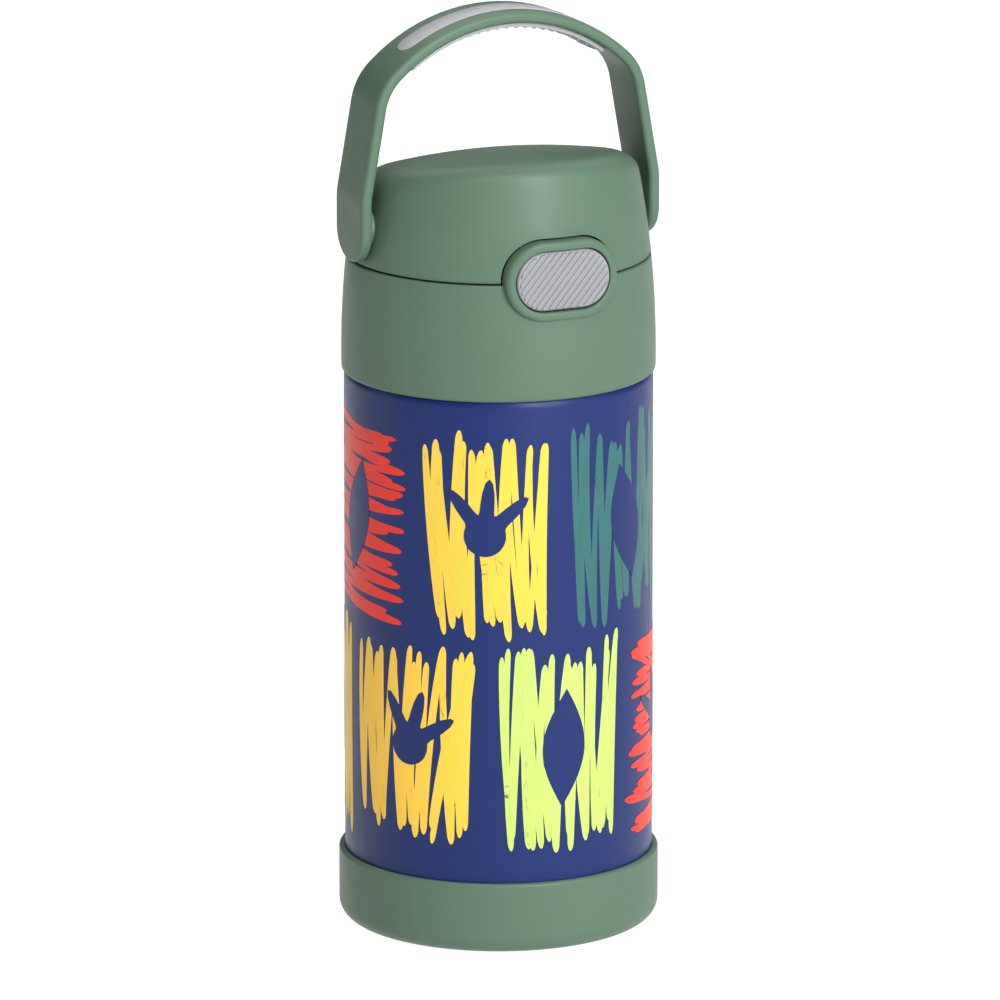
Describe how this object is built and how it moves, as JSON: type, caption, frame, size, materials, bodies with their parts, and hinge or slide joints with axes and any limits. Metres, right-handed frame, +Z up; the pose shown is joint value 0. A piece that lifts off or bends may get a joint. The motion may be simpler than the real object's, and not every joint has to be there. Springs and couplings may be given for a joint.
{
  "type": "insulated straw bottle",
  "caption": "Vacuum insulated steel straw bottle for a child, with a push-button flip cover, folding spout, screw-on lid and swinging carry loop.",
  "frame": {"origin": "centre of the foot, on the table", "axes": "+Z up along the bottle, push button towards -Y, cover hinge towards +Y, carry loop pivots along X"},
  "size_m": [0.0728, 0.0714, 0.2076],
  "materials": {
    "navy_paint": "satin printed paint",
    "flask_steel": "brushed",
    "seal_resin": "matte",
    "green_plastic": "satin moulded",
    "grey_plastic": "satin moulded",
    "grey_grip": "soft matte",
    "clear_silicone": "translucent soft",
    "straw_plastic": "translucent",
    "spring_steel": "bright"
  },
  "bodies": {
    "flask": {"outer_shell": "navy_paint", "inner_flask": "flask_steel", "shell_bottom": "flask_steel", "evacuation_seal": "seal_resin", "vacuum_getter": "spring_steel", "base_boot": "green_plastic"},
    "lid": {"lid_collar": "green_plastic", "lid_insert": "grey_plastic", "neck_gasket": "clear_silicone", "spout_base": "clear_silicone", "lower_straw": "straw_plastic", "hinge_pin": "spring_steel", "lid_spring": "spring_steel", "button_springs": "spring_steel"},
    "button": {"button_cap": "grey_grip", "button_slider": "green_plastic"},
    "spout": {"spout_tip": "clear_silicone"},
    "cover": {"cover_shell": "green_plastic", "cover_liner": "grey_plastic"},
    "carry_loop": {"handle_frame": "green_plastic", "handle_grip": "grey_grip"}
  },
  "joints": [
    {"name": "lid_lift", "type": "slide", "parent": "flask", "child": "lid", "axis": [0, 0, 1], "range_m": [0, 0.15]},
    {"name": "button_press", "type": "slide", "parent": "lid", "child": "button", "axis": [0, 1, 0], "range_m": [0, 0.002], "stiffness_N_per_m": 800, "springref_m": -0.001, "deforming": ["button_springs"]},
    {"name": "lid_hinge", "type": "hinge", "parent": "lid", "child": "cover", "pos_m": [0, 0.03211, 0.1535], "axis": [-1, 0, 0], "range_deg": [0, 115], "deforming": ["lid_spring"]},
    {"name": "spout_flip", "type": "hinge", "parent": "lid", "child": "spout", "pos_m": [0, 0.008, 0.151], "axis": [-1, 0, 0], "range_deg": [0, 80]},
    {"name": "handle_swing", "type": "hinge", "parent": "cover", "child": "carry_loop", "pos_m": [0, 0, 0.1605], "axis": [1, 0, 0], "range_deg": [-70, 90]}
  ],
  "couplings": [
    {"joint": "spout_flip", "follows": "lid_hinge", "ratio": 0.69565}
  ]
}
